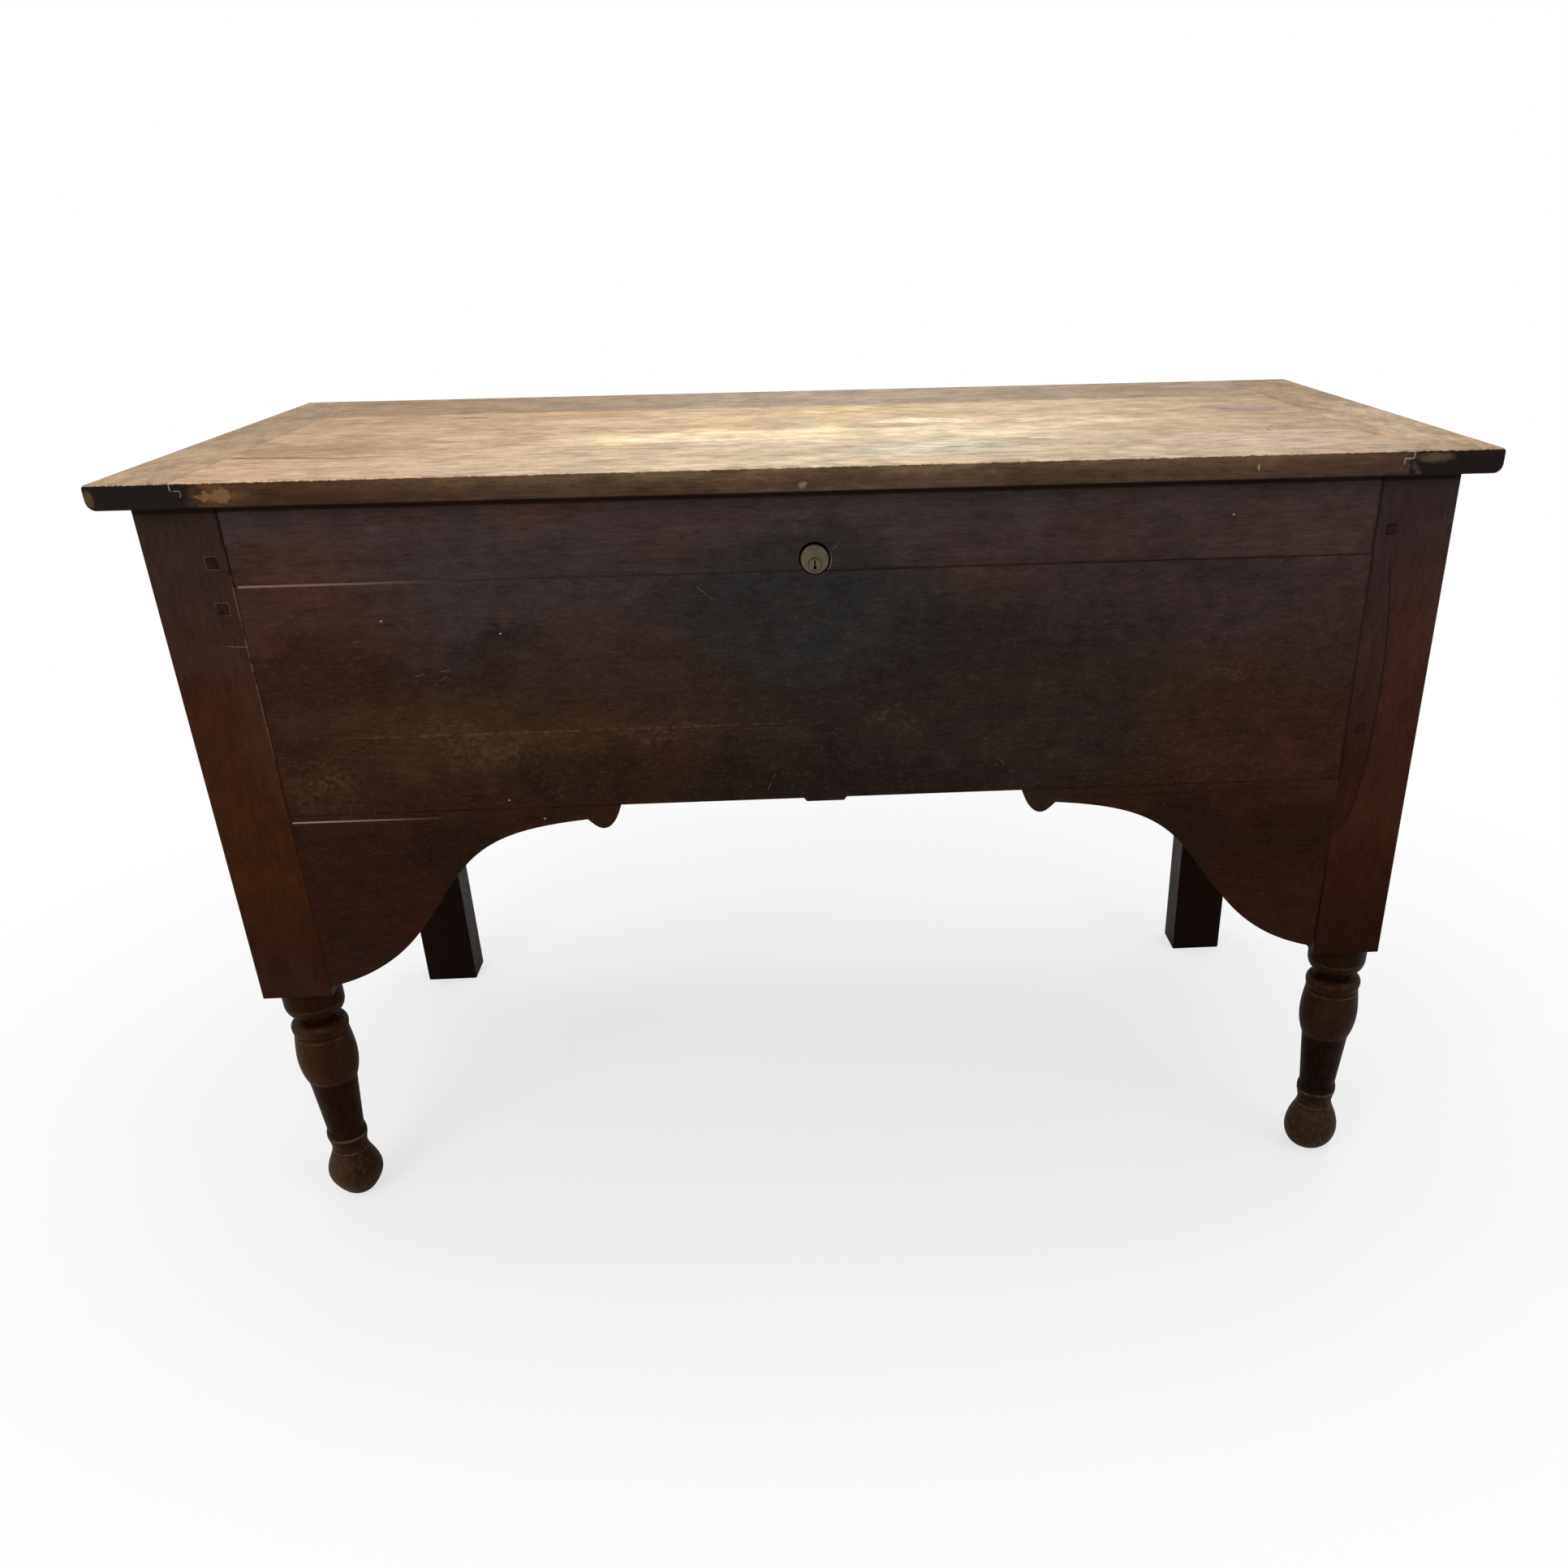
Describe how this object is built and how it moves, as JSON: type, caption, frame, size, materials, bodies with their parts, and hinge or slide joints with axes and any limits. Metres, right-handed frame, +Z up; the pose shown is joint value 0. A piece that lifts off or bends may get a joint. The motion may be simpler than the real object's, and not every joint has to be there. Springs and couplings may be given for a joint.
{
  "type": "sugar chest",
  "caption": "Joined sugar chest on turned front legs, with shaped brackets, a hinged breadboard-ended lid over divided bins and a cylinder lock with a sliding bolt.",
  "frame": {"origin": "on the floor, under the middle of the closed chest's bounding box", "axes": "+X to the right of someone facing the chest, +Y towards its back, +Z up"},
  "size_m": [1.384, 0.7204, 0.881],
  "materials": {
    "lid_wood": "worn, waxed pine",
    "case_wood": "worn reddish brown stain under old wax",
    "peg_wood": "dark stained end grain",
    "inner_wood": "bare aged pine",
    "wrought_iron": "dark, lightly rusted",
    "aged_brass": "dull olive patina"
  },
  "bodies": {
    "case": {"back_board_lower": "case_wood", "back_board_upper": "case_wood", "back_pegs": "peg_wood", "back_top_rail": "case_wood", "bearer_nails": "wrought_iron", "bracket_block_left": "inner_wood", "bracket_block_right": "inner_wood", "case_hinge_leaf_left": "wrought_iron", "case_hinge_leaf_right": "wrought_iron", "cylinder_screws": "wrought_iron", "divider_guides": "inner_wood", "divider_left": "inner_wood", "divider_right": "inner_wood", "floor_bearer_back": "inner_wood", "floor_bearer_front": "inner_wood", "floor_bearer_left": "inner_wood", "floor_bearer_right": "inner_wood", "floor_board_1": "inner_wood", "floor_board_2": "inner_wood", "floor_board_3": "inner_wood", "floor_board_4": "inner_wood", "floor_board_5": "inner_wood", "front_board_lower": "case_wood", "front_board_upper": "case_wood", "front_bracket_left": "case_wood", "front_bracket_right": "case_wood", "front_pegs": "peg_wood", "front_post_left": "case_wood", "front_post_right": "case_wood", "front_top_rail": "case_wood", "hinge_pins": "wrought_iron", "hinge_screws_case": "wrought_iron", "lock_case": "wrought_iron", "lock_cover": "wrought_iron", "lock_cylinder": "aged_brass", "lock_screws": "wrought_iron", "rear_post_left": "case_wood", "rear_post_right": "case_wood", "side_board_left": "case_wood", "side_board_right": "case_wood", "side_pegs": "peg_wood", "side_rail_left": "case_wood", "side_rail_right": "case_wood"},
    "lid": {"lid_board_back": "lid_wood", "lid_board_front": "lid_wood", "lid_board_middle": "lid_wood", "lid_end_left": "lid_wood", "lid_end_right": "lid_wood", "lid_hinge_leaf_left": "wrought_iron", "lid_hinge_leaf_right": "wrought_iron", "hinge_screws_lid": "wrought_iron", "strike_plate": "wrought_iron", "strike_screws": "wrought_iron"},
    "lock_plug": {"lock_plug": "aged_brass", "lock_cam": "wrought_iron"},
    "lock_bolt": {"lock_bolt": "wrought_iron"}
  },
  "joints": [
    {"name": "lid_hinge", "type": "hinge", "parent": "case", "child": "lid", "pos_m": [0, 0.35575, 0.857], "axis": [-1, 0, 0], "range_deg": [0, 100]},
    {"name": "lock_plug_turn", "type": "hinge", "parent": "case", "child": "lock_plug", "pos_m": [0.002, -0.3, 0.7802], "axis": [0, 1, 0], "range_deg": [0, 90]},
    {"name": "lock_bolt_slide", "type": "slide", "parent": "case", "child": "lock_bolt", "axis": [1, 0, 0], "range_m": [0, 0.01202]}
  ],
  "couplings": [
    {"joint": "lock_plug_turn", "follows": "lock_bolt_slide", "rad_per_m": 130.6}
  ]
}
